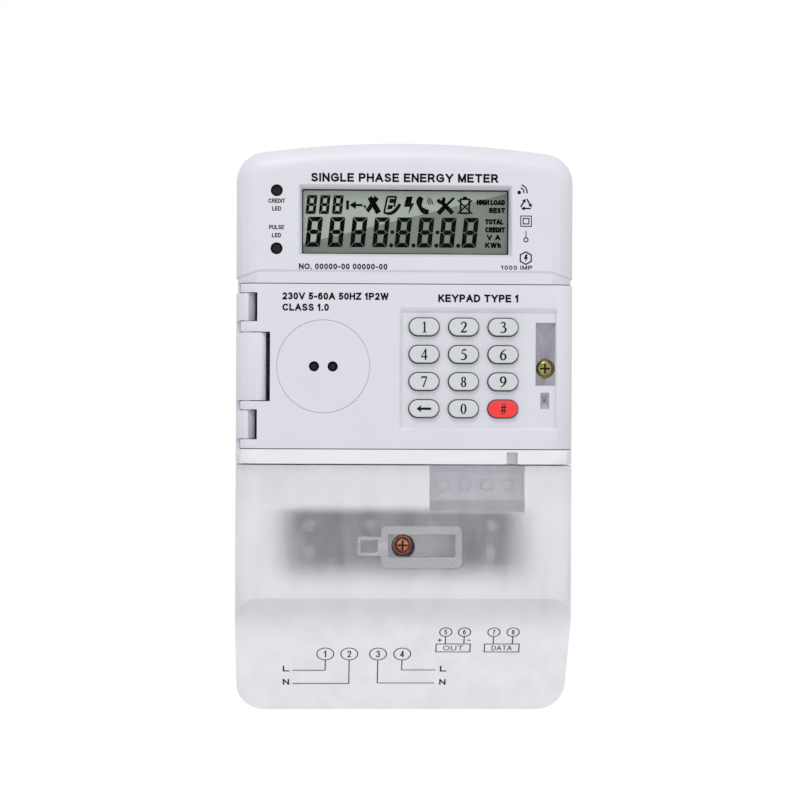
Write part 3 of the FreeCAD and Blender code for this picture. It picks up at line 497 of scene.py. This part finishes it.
class Print:
    """Flat shapes in millimetres, gathered and made into one thin closed piece of ink."""

    def __init__(self):
        self.verts = []
        self.faces = []

    def polygon(self, points):
        start = len(self.verts)
        self.verts += [tuple(p) for p in points]
        self.faces.append(list(range(start, start + len(points))))

    def ribbon(self, points, closed=False, steps=8, smooth=True):
        """A stroke through (x, y, half width) points."""
        path = spline(points, closed, steps) if smooth else list(points)
        if closed and path[0] == path[-1]:
            path.pop()
        start = len(self.verts)
        count = len(path)
        for i, (x, y, w) in enumerate(path):
            if closed:
                ahead, behind = path[(i + 1) % count], path[i - 1]
            else:
                ahead, behind = path[min(i + 1, count - 1)], path[max(i - 1, 0)]
            dx, dy = ahead[0] - behind[0], ahead[1] - behind[1]
            length = math.hypot(dx, dy) or 1.0
            self.verts += [(x - dy / length * w, y + dx / length * w),
                           (x + dy / length * w, y - dx / length * w)]
        for i in range(count if closed else count - 1):
            a, b = start + 2 * i, start + 2 * ((i + 1) % count)
            self.faces.append([a, a + 1, b + 1, b])

    def line(self, x0, y0, x1, y1, width):
        self.ribbon([(x0, y0, width / 2), (x1, y1, width / 2)], smooth=False)

    def ring(self, x, y, rx, ry, half, thicker=0.0):
        """An ellipse drawn with a stroke of half width half, and thicker more at its two sides."""
        self.ribbon([(px, py, half + thicker * abs(px - x) / rx)
                     for px, py in ellipse(x, y, rx, ry, 32)], closed=True, smooth=False)

    def disc(self, x, y, r):
        self.polygon(ellipse(x, y, r, r, 20))

    def frame(self, x0, x1, y0, y1, width):
        """A rectangle drawn with four bars."""
        h = width / 2
        for a, b, c, d in ((x0, y0, x1, y0), (x0, y1, x1, y1)):
            self.line(a - h, b, c + h, d, width)
        for a, b, c, d in ((x0, y0, x0, y1), (x1, y0, x1, y1)):
            self.line(a, b + h, c, d - h, width)

    def text(self, words, x0, x1, base, cap, weight=0.15):
        """Plain sans capitals between x0 and x1, cap tall, with strokes weight times as wide."""
        pen = 0.0
        strokes = []
        for letter in words:
            if letter == " ":
                pen += WORD_SPACE
                continue
            wide, marks = LETTERS[letter]
            strokes += [[(pen + mx, my) for mx, my in mark] for mark in marks]
            pen += wide + LETTER_SPACE + weight
        length = pen - LETTER_SPACE - weight
        half = weight * cap / 2
        squeeze = (x1 - x0 - 2 * half) / max(length, 0.01)
        for mark in strokes:
            points = [(x0 + half + mx * squeeze, base + half + my * (cap - 2 * half), half)
                      for mx, my in mark]
            if len(points) == 2:
                self.polygon(bar_corners(points, half))
            else:
                closed = mark[0] == mark[-1]
                self.ribbon(points, closed=closed, steps=3, smooth=not closed)

    def make(self, name, matrix, body, material):
        mesh = bpy.data.meshes.new(name)
        mesh.from_pydata([(x * MM, y * MM, 0) for x, y in self.verts], [], self.faces)
        work = bmesh.new()
        work.from_mesh(mesh)
        bmesh.ops.remove_doubles(work, verts=work.verts, dist=0.002 * MM)
        for face in work.faces:
            face.normal_update()
            if face.normal.z < 0:
                face.normal_flip()
        top = list(work.faces)
        made = bmesh.ops.extrude_face_region(work, geom=top, use_keep_orig=True)
        moved = [v for v in made["geom"] if isinstance(v, bmesh.types.BMVert)]
        bmesh.ops.translate(work, verts=moved, vec=(0, 0, -INK_DEPTH))
        bmesh.ops.recalc_face_normals(work, faces=work.faces)
        bmesh.ops.transform(work, matrix=matrix, verts=work.verts)
        work.to_mesh(mesh)
        work.free()
        mesh.materials.append(material)
        piece = bpy.data.objects.new(name, mesh)
        bpy.context.scene.collection.objects.link(piece)
        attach(piece, body)
        return piece


def bar_corners(ends, half):
    """The four corners of a straight stroke that runs half its width past each end."""
    (ax, ay, _), (bx, by, _) = ends
    length = math.hypot(bx - ax, by - ay) or 1.0
    ux, uy = (bx - ax) / length * half, (by - ay) / length * half
    return [(ax - ux + uy, ay - uy - ux), (bx + ux + uy, by + uy - ux),
            (bx + ux - uy, by + uy + ux), (ax - ux - uy, ay - uy + ux)]


def ellipse(x, y, rx, ry, count):
    angles = [2 * math.pi * i / count for i in range(count)]
    return [(x + rx * math.cos(a), y + ry * math.sin(a)) for a in angles]


def oval(x, y, rx, ry):
    """An ellipse whose first point is repeated, which makes it a closed stroke of a letter."""
    points = ellipse(x, y, rx, ry, 24)
    return points + points[:1]


# Sans capitals and figures, 1 tall: (width, strokes). Two points make a bar, more a curve.
LETTER_SPACE = 0.2
WORD_SPACE = 0.5
STEM = [(0, 0), (0, 1)]
BOWL = [(.4, 1), (.6, .94), (.68, .73), (.6, .52), (.4, .46)]
SANS_SIX = [(.53, .78), (.44, .95), (.28, 1), (.08, .85), (0, .45), (.06, .1), (.28, 0), (.5, .1),
            (.56, .32), (.48, .54), (.28, .62), (.08, .52), (.01, .36)]
LETTERS = {
    "A": (.86, [[(0, 0), (.43, 1)], [(.86, 0), (.43, 1)], [(.17, .33), (.69, .33)]]),
    "C": (.82, [[(.8, .74), (.66, .93), (.42, 1), (.13, .86), (0, .5), (.13, .14), (.42, 0),
                 (.66, .07), (.82, .28)]]),
    "D": (.78, [STEM, [(0, 1), (.3, 1)], [(0, 0), (.3, 0)],
                [(.3, 1), (.62, .9), (.78, .5), (.62, .1), (.3, 0)]]),
    "E": (.66, [STEM, [(0, 1), (.64, 1)], [(0, .52), (.58, .52)], [(0, 0), (.66, 0)]]),
    "G": (.88, [[(.83, .74), (.68, .93), (.43, 1), (.13, .86), (0, .5), (.13, .13), (.44, 0),
                 (.7, .05), (.86, .18)], [(.86, .16), (.86, .46)], [(.5, .48), (.86, .48)]]),
    "H": (.74, [STEM, [(.74, 0), (.74, 1)], [(0, .52), (.74, .52)]]),
    "I": (.02, [STEM]),
    "K": (.72, [STEM, [(.02, .36), (.68, 1)], [(.26, .58), (.72, 0)]]),
    "L": (.58, [STEM, [(0, 0), (.58, 0)]]),
    "M": (.86, [STEM, [(.86, 0), (.86, 1)], [(0, 1), (.43, .05)], [(.86, 1), (.43, .05)]]),
    "N": (.74, [STEM, [(.74, 0), (.74, 1)], [(0, 1), (.74, 0)]]),
    "O": (.9, [oval(.45, .5, .45, .5)]),
    "P": (.68, [STEM, [(0, 1), (.4, 1)], [(0, .46), (.4, .46)], BOWL]),
    "R": (.74, [STEM, [(0, 1), (.4, 1)], [(0, .46), (.4, .46)], BOWL, [(.4, .46), (.72, 0)]]),
    "S": (.7, [[(.66, .76), (.55, .94), (.34, 1), (.1, .92), (.04, .74), (.16, .58), (.38, .5),
                (.6, .4), (.7, .24), (.6, .07), (.35, 0), (.1, .07), (0, .28)]]),
    "T": (.74, [[(0, 1), (.74, 1)], [(.37, 0), (.37, 1)]]),
    "U": (.74, [[(0, .3), (0, 1)], [(.74, .3), (.74, 1)],
                [(0, .32), (.08, .08), (.37, 0), (.66, .08), (.74, .32)]]),
    "V": (.84, [[(0, 1), (.42, 0)], [(.84, 1), (.42, 0)]]),
    "W": (1.2, [[(0, 1), (.3, 0)], [(.3, 0), (.6, 1)], [(.6, 1), (.9, 0)], [(.9, 0), (1.2, 1)]]),
    "Y": (.82, [[(0, 1), (.41, .44)], [(.82, 1), (.41, .44)], [(.41, 0), (.41, .44)]]),
    "Z": (.7, [[(0, 1), (.7, 1)], [(0, 0), (.7, 0)], [(0, 0), (.7, 1)]]),
    "h": (.44, [STEM, [(0, .42), (.12, .64), (.32, .66), (.44, .48)], [(.44, 0), (.44, .48)]]),
    "0": (.56, [oval(.28, .5, .28, .5)]),
    "1": (.3, [[(.22, 0), (.22, 1)], [(.22, 1), (0, .78)]]),
    "2": (.58, [[(.02, .7), (.1, .93), (.3, 1), (.5, .92), (.56, .72), (.42, .42), (.04, .03)],
                [(0, 0), (.58, 0)]]),
    "3": (.56, [[(.02, .76), (.1, .94), (.28, 1), (.48, .92), (.5, .72), (.38, .56), (.22, .54)],
                [(.22, .54), (.46, .48), (.56, .28), (.46, .07), (.26, 0), (.08, .06), (0, .26)]]),
    "4": (.58, [[(.43, 0), (.43, 1)], [(.43, 1), (0, .28)], [(0, .26), (.58, .26)]]),
    "5": (.56, [[(.12, 1), (.52, 1)], [(.12, 1), (.05, .5)],
                [(.05, .5), (.28, .62), (.5, .52), (.56, .32), (.46, .08), (.24, 0), (.06, .07),
                 (0, .26)]]),
    "6": (.56, [SANS_SIX]),
    "7": (.54, [[(0, 1), (.54, 1)], [(.54, 1), (.3, .5), (.18, 0)]]),
    "8": (.56, [oval(.28, .77, .22, .23), oval(.28, .27, .28, .27)]),
    "9": (.56, [[(.56 - x, 1 - y) for x, y in SANS_SIX]]),
    ".": (.04, [[(0, 0), (.02, 0)]]),
    "-": (.3, [[(0, .4), (.3, .4)]]),
    ":": (.04, [[(0, .1), (.02, .1)], [(0, .6), (.02, .6)]]),
}


def spline(points, closed, steps):
    """Catmull-Rom through the points, the stroke's half width included."""
    count = len(points)
    path = []
    spans = count if closed else count - 1
    for i in range(spans):
        def at(k):
            return points[k % count] if closed else points[min(max(k, 0), count - 1)]
        p0, p1, p2, p3 = at(i - 1), at(i), at(i + 1), at(i + 2)
        for s in range(steps):
            t = s / steps
            path.append(tuple(0.5 * (2 * b + (c - a) * t + (2 * a - 5 * b + 4 * c - d) * t * t
                                     + (3 * b - a - 3 * c + d) * t ** 3)
                              for a, b, c, d in zip(p0, p1, p2, p3)))
    if not closed:
        path.append(tuple(points[-1]))
    return path


# Serif figures in a box 0.6 wide and 1 tall: each stroke is a list of (x, y, half width)
SIX = [(.55, .98, .015), (.32, .86, .035), (.12, .6, .06), (.07, .3, .075), (.16, .08, .05),
       (.31, .02, .03), (.47, .12, .055), (.53, .32, .07), (.44, .52, .05), (.3, .58, .025),
       (.13, .47, .02)]
FIGURES = {
    "1": [[(.33, .02, .055), (.33, .97, .055)], [(.36, .96, .035), (.14, .84, .015)],
          [(.14, .02, .022), (.52, .02, .022)]],
    "2": [[(.06, .74, .04), (.12, .9, .03), (.29, .97, .03), (.46, .87, .055), (.48, .68, .07),
           (.36, .43, .05), (.18, .19, .03), (.05, .06, .025)],
          [(.04, .06, .055), (.5, .06, .055)], [(.5, .04, .03), (.57, .22, .01)]],
    "3": [[(.07, .82, .02), (.19, .95, .03), (.36, .94, .045), (.45, .78, .06), (.36, .61, .035),
           (.22, .55, .02)],
          [(.22, .55, .02), (.42, .5, .035), (.53, .3, .075), (.42, .08, .05), (.22, .02, .03),
           (.05, .08, .05)]],
    "4": [[(.44, .96, .025), (.04, .29, .02)], [(.02, .27, .04), (.6, .27, .04)],
          [(.43, 1.0, .055), (.43, 0, .055)]],
    "5": [[(.19, .92, .05), (.54, .95, .05)], [(.2, .94, .02), (.13, .6, .02)],
          [(.13, .59, .02), (.36, .56, .04), (.52, .34, .075), (.42, .1, .05), (.22, .02, .03),
           (.05, .07, .045)]],
    "6": [SIX],
    "7": [[(.06, .93, .055), (.57, .93, .055)], [(.08, .95, .02), (.03, .76, .01)],
          [(.55, .93, .03), (.22, 0, .045)]],
    "9": [[(.6 - x, 1 - y, w) for x, y, w in SIX]],
    "hash": [[(.2, 0, .022), (.3, 1, .022)], [(.4, 0, .022), (.5, 1, .022)],
             [(.06, .34, .022), (.62, .34, .022)], [(.08, .66, .022), (.64, .66, .022)]],
}


LEGEND_TALL = 3.75                        # height of a key's figure in mm
LEGEND_BOLDER = 0.02                      # added to every half width, for a height of 1


def key_legends():
    """One legend for each key, printed on its cap; the 0 and the 8 are rings with thicker sides."""
    tall = LEGEND_TALL
    for name in (*"123456789", "left", "0", "hash"):
        low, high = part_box("key_" + name)
        x = (low.x + high.x) / 2 / MM
        z = (low.z + high.z) / 2 / MM
        left, base = x - 0.3 * tall, z - 0.5 * tall
        art = Print()
        if name == "left":
            art.line(x - 1.6, z, x + 2.5, z, 0.85)
            art.polygon([(x - 2.6, z), (x - 0.9, z - 1.3), (x - 1.3, z), (x - 0.9, z + 1.3)])
        elif name == "0":
            art.ring(x, z, 0.2 * tall, 0.455 * tall, 0.03 * tall, 0.054 * tall)
        elif name == "8":
            art.ring(x, z + 0.235 * tall, 0.15 * tall, 0.205 * tall, 0.03 * tall, 0.043 * tall)
            art.ring(x, z - 0.22 * tall, 0.18 * tall, 0.24 * tall, 0.032 * tall, 0.05 * tall)
        else:
            for stroke in FIGURES[name]:
                art.ribbon([(left + px * tall, base + py * tall, (w + LEGEND_BOLDER) * tall)
                            for px, py, w in stroke], smooth=len(stroke) > 2)
        art.make("legend_" + name, front_face(low.y), "key_" + name + "_body", INK)


SLANT = 0.1                               # how far the display's figures lean, for a height of 1


def segment_digit(art, x, y, wide, tall, thick, gap):
    """A slanting seven-segment figure with every segment dark; x, y is its lower left corner."""
    t, half = thick, tall / 2
    top = [(gap, tall), (wide - gap, tall), (wide - t - gap, tall - t), (t + gap, tall - t)]
    side = [(0, tall - gap), (t, tall - t - gap), (t, half + t / 2 + gap), (t / 2, half + gap),
            (0, half + gap)]
    middle = [(t / 2 + gap, half), (t + gap, half + t / 2), (wide - t - gap, half + t / 2),
              (wide - t / 2 - gap, half), (wide - t - gap, half - t / 2), (t + gap, half - t / 2)]
    shapes = [middle]
    for flip in (False, True):
        shapes.append([(px, tall - py if flip else py) for px, py in top])
        for mirror in (False, True):
            shapes.append([(wide - px if mirror else px, tall - py if flip else py)
                           for px, py in side])
    for shape in shapes:
        art.polygon([(x + px + SLANT * py, y + py) for px, py in shape])


def display_content():
    """The display's figures, signs and words, and the shade round its rim, at (x, z) in mm."""
    art = Print()
    for i in range(3):
        segment_digit(art, -34.9 + 4.6 * i, 75.9, 3.5, 6.6, 1.1, 0.06)
    for i in range(8):
        segment_digit(art, -35.0 + 7.8 * i, 64.4, 5.2, 10.5, 1.6, 0.1)
    for x, high in ((-4.9, True), (2.9, False), (10.9, True), (18.6, False)):
        art.disc(x, 65.1, 0.75)
        if high:
            art.disc(x + 0.4, 69.7, 0.7)
    # Bar and arrow, tick and cross, token in a slot, bolt, handset, crossed tools, crossed-out cell
    art.line(-20.2, 77.5, -20.2, 80.7, 1.0)
    art.line(-18.3, 79.1, -15.0, 79.1, 0.8)
    art.polygon([(-19.6, 79.1), (-17.3, 77.7), (-17.3, 80.5)])
    art.ribbon([(-14.3, 79.0, .5), (-13.3, 77.0, .75), (-10.0, 81.9, .9)], smooth=False)
    art.ribbon([(-12.5, 81.9, .85), (-9.3, 76.4, 1.0)], smooth=False)
    for a, b in (((-7.4, 76.6), (-6.3, 82.1)), ((-6.3, 82.1), (-3.2, 82.1)),
                 ((-3.2, 82.1), (-3.9, 78.6))):
        art.line(*a, *b, 0.65)
    art.polygon([(-5.6, 79.9), (-3.9, 79.9), (-3.7, 81.4), (-5.4, 81.4)])
    art.polygon([(-6.3, 77.6), (-4.6, 77.9), (-4.2, 79.2), (-6.0, 79.2)])
    art.ribbon([(-7.6, 76.6, .3), (-6.0, 76.2, .5), (-4.4, 76.6, .6), (-2.9, 78.0, .6),
                (-1.8, 79.6, .5)])
    art.polygon([(0.4, 82.2), (2.6, 82.2), (2.0, 79.9), (3.2, 79.9), (1.0, 75.8), (1.6, 78.6),
                 (-0.5, 78.6)])
    art.ribbon([(5.7, 82.0, .8), (4.9, 80.5, 1.1), (5.2, 78.6, .7), (6.5, 77.2, .95),
                (8.2, 76.8, .8)])
    for r in (1.0, 1.7, 2.4):
        art.ribbon([(7.2 + r * math.cos(a), 79.5 + r * math.sin(a), 0.18)
                    for a in (1.3, 0.85, 0.4, 0.0)])
    art.line(12.6, 80.6, 16.6, 76.4, 1.5)
    art.ribbon([(11.4, 81.3, .6), (12.2, 80.3, .65), (13.4, 80.8, .65), (13.4, 82.0, .5)])
    art.line(11.5, 76.3, 14.0, 78.9, 1.6)
    art.line(14.0, 78.9, 17.1, 81.9, 0.85)
    art.frame(19.4, 22.4, 76.5, 81.4, 0.65)
    art.line(20.2, 82.0, 21.6, 82.0, 0.6)
    for side in (-2.6, 2.6):
        art.line(20.9 - side, 76.3, 20.9 + side, 81.2, 0.5)
    for words, x0, x1, base in (("HIGH LOAD", 25.0, 35.0, 79.4), ("REST", 29.4, 35.0, 76.6),
                                ("TOTAL", 28.0, 34.4, 72.6), ("CREDIT", 28.0, 35.0, 69.8),
                                ("V A", 28.6, 33.4, 67.1), ("KWh", 28.0, 33.6, 64.4)):
        art.text(words, x0, x1, base, 1.9, 0.3)
    art.make("display_segments", front_face(GLASS_FACE), "casing", SEGMENT)
    # Painted shadow along the inside of the display's rim
    rim = Print()
    right, low, high, r, half = 35.95, 62.05, 84.35, 0.9, 0.26
    path = []
    for x, z, start in ((right - r, high - r, 0), (r - right, high - r, 90),
                        (r - right, low + r, 180), (right - r, low + r, 270)):
        for angle in (start, start + 30, start + 60, start + 90):
            turn = math.radians(angle)
            path.append((x + r * math.cos(turn), z + r * math.sin(turn), half))
    rim.ribbon(path, closed=True, smooth=False)
    rim.make("display_rim", front_face(GLASS_FACE), "casing", RIM_SHADE)


def polygon_corners(x, z, r, count):
    """The corners of a regular polygon, clockwise from the one on top."""
    angles = [2 * math.pi / count * i for i in range(count)]
    return [(x + r * math.sin(a), z + r * math.cos(a)) for a in angles]


def hood_printing():
    """The words and signs round the display, at (x, z) in mm."""
    art = Print()
    art.text("SINGLE PHASE ENERGY METER", -33.0, 32.3, 86.9, 3.05, 0.225)
    for words, half, base in (("CREDIT", 2.9, 79.4), ("LED", 1.6, 76.7),
                              ("PULSE", 2.6, 70.2), ("LED", 1.6, 67.4)):
        art.text(words, LED_MIDDLE - half, LED_MIDDLE + half, base, 1.5, 0.2)
    art.text("NO. 00000-00 00000-00", -37.1, -6.3, 56.4, 2.0, 0.22)
    art.text("1000 IMP", 33.4, 44.3, 56.6, 1.5, 0.22)
    # Waves, recycling arrows, double insulation, indoor-mounting mark, bolt in a hexagon
    art.disc(39.6, 83.6, 0.65)
    for r in (1.7, 2.8):
        art.ribbon([(39.6 + r * math.cos(a), 83.6 + r * math.sin(a), 0.22)
                    for a in (-0.1, 0.35, 0.8, 1.25)])
    r, start, end, barb, tip = 2.5, 0.12, 0.62, 0.75, 1.2
    corners = polygon_corners(42.05, 79.3, r, 3)
    for (ax, az), (bx, bz) in zip(corners, corners[1:] + corners[:1]):
        ex, ez = ax + (bx - ax) * end, az + (bz - az) * end
        art.line(ax + (bx - ax) * start, az + (bz - az) * start, ex, ez, 0.5)
        ux, uz = (bx - ax) / (r * math.sqrt(3)), (bz - az) / (r * math.sqrt(3))
        art.polygon([(ex - uz * barb, ez + ux * barb), (ex + ux * tip, ez + uz * tip),
                     (ex + uz * barb, ez - ux * barb)])
    art.frame(40.2, 43.9, 71.8, 75.4, 0.32)
    art.frame(41.05, 43.05, 72.65, 74.55, 0.36)
    art.line(42.05, 67.9, 42.05, 70.2, 0.3)
    art.ring(42.05, 67.1, 0.72, 0.72, 0.18)
    hexagon = [(x, z, 0.26) for x, z in polygon_corners(42.0, 60.7, 2.2, 6)]
    art.ribbon(hexagon, closed=True, smooth=False)
    art.polygon([(41.9, 62.0), (42.7, 62.0), (42.3, 61.0), (42.9, 61.0), (41.7, 59.3), (42.0, 60.4),
                 (41.3, 60.4)])
    art.make("hood_printing", front_face(FRONT), "casing", INK)


def door_printing():
    art = Print()
    art.text("230V 5-60A 50HZ 1P2W", -42.8, -5.8, 45.8, 2.5, 0.235)
    art.text("CLASS 1.0", -42.8, -26.6, 41.9, 2.5, 0.235)
    art.text("KEYPAD TYPE 1", 11.5, 39.6, 45.2, 2.7, 0.235)
    art.make("door_printing", front_face(FRONT), "door", INK)


def figure_text(art, figure, x, base, cap, wide):
    """One figure centred on x; a 1 is narrower than the others."""
    half = 0.3 * wide if figure == "1" else wide / 2
    art.text(figure, x - half, x + half, base, cap, 0.13)


def cover_printing():
    """Wiring diagram on the sloping face; heights are measured from its upper edge."""
    art = Print()
    thin = 0.38                           # width of the diagram's lines
    circles = ((-27.2, "1"), (-18.7, "2"), (-8.5, "3"), (0.1, "4"))
    for x, figure in circles:
        art.ring(x, -27.5, 3.0, 3.0, thin / 2)
        figure_text(art, figure, x, -29.2, 3.4, 1.45)
    drops, ends = (-35.8, -42.6, -42.3, -35.6), (-38.9, -38.9, 11.9, 12.2)
    for (x, _), drop, end in zip(circles, drops, ends):
        art.line(x, -30.5, x, drop, thin)
        art.line(x, drop, end, drop, thin)
    for word, y in (("L", -36.4), ("N", -43.2)):
        for x in (-41.2, 14.9):
            art.text(word, x - 1.15, x + 1.15, y, 2.9, 0.19)
    for word, box_x0, box_x1, terminals in (("OUT", 12.0, 24.1, ((15.2, "5"), (21.8, "6"))),
                                            ("DATA", 29.2, 41.5, ((32.2, "7"), (39.0, "8")))):
        for x, figure in terminals:
            art.ring(x, -16.5, 2.15, 2.15, thin / 2)
            figure_text(art, figure, x, -17.7, 2.4, 1.0)
            art.line(x, -18.6, x, -22.3, thin)
        art.frame(box_x0, box_x1, -26.4, -22.4, thin)
        middle = (box_x0 + box_x1) / 2
        art.text(word, middle - 3.6, middle + 3.6, -25.6, 2.4, 0.13)
    # Plus and minus
    art.line(12.4, -20.5, 14.0, -20.5, thin)
    art.line(13.2, -19.7, 13.2, -21.3, thin)
    art.line(22.9, -20.5, 24.1, -20.5, thin)
    art.make("cover_printing", slope_face(), "cover", GREY_INK)


key_legends()
display_content()
hood_printing()
door_printing()
cover_printing()


# ------------------------------------------------------------------ floor, light and camera

FLOOR_RADIUS, FLOOR_BACK, FLOOR_DROP = 0.9, 0.1, 0.22   # m: size, and place behind and below
AIR_LIGHT = 0.8                           # the surroundings' strength as light


def stage_floor():
    bpy.ops.mesh.primitive_circle_add(vertices=96, radius=FLOOR_RADIUS, fill_type="NGON",
                                      location=(0, FLOOR_BACK, CASE_FOOT - FLOOR_DROP))
    floor = bpy.context.object
    floor.name = "studio_floor"
    paint_tone = (0.86, 0.86, 0.87)
    floor.data.materials.append(moulded("floor_paint", paint_tone, 0.6, grain=60.0,
                                        height=0.05 * MM))


def area_light(name, place, size, power):
    """A rectangular soft box that points at the middle of the object."""
    lamp = bpy.data.lights.new(name, "AREA")
    lamp.shape = "RECTANGLE"
    lamp.size, lamp.size_y = size
    lamp.energy = power
    holder = bpy.data.objects.new(name, lamp)
    holder.location = place
    holder.rotation_euler = (-Vector(place)).to_track_quat("-Z", "Y").to_euler()
    bpy.context.scene.collection.objects.link(holder)


def studio():
    """White surroundings, dimmer as light than as background, and two soft boxes."""
    world = bpy.data.worlds.new("studio_air")
    world.use_nodes = True
    tree = world.node_tree
    path = tree.nodes.new("ShaderNodeLightPath")
    strength = tree.nodes.new("ShaderNodeMapRange")
    strength.inputs["To Min"].default_value = AIR_LIGHT
    strength.inputs["To Max"].default_value = 1.0
    tree.links.new(path.outputs["Is Camera Ray"], strength.inputs["Value"])
    tree.links.new(strength.outputs["Result"], tree.nodes["Background"].inputs["Strength"])
    tree.nodes["Background"].inputs["Color"].default_value = (1.0, 1.0, 1.0, 1.0)
    bpy.context.scene.world = world
    bpy.context.scene.view_settings.view_transform = "Standard"
    area_light("key_softbox", (-0.15, -0.75, 1.0), (0.45, 0.35), 4.4)
    area_light("fill_softbox", (0.7, -1.0, 0.1), (0.6, 0.9), 0.9)


def place_camera():
    """Level and 0.9 m off, 2 degrees to the left of the front and rolled by a quarter degree."""
    distance = 0.9
    view_width = 278.7456 * MM            # how much it takes in at the front face
    yaw, roll = math.radians(2.0), math.radians(0.25)
    aim = Vector((-1.7 * MM, FRONT, 11.0 * MM))
    back = Vector((-math.sin(yaw), -math.cos(yaw), 0))
    lens = bpy.data.cameras.new("camera")
    lens.sensor_width = 36.0
    lens.lens = lens.sensor_width * distance / view_width
    camera = bpy.data.objects.new("camera", lens)
    camera.location = aim + back * distance
    turn = (-back).to_track_quat("-Z", "Y").to_matrix()
    camera.rotation_euler = (turn @ Matrix.Rotation(roll, 3, "Z")).to_euler()
    bpy.context.scene.collection.objects.link(camera)
    bpy.context.scene.camera = camera


stage_floor()
studio()
place_camera()
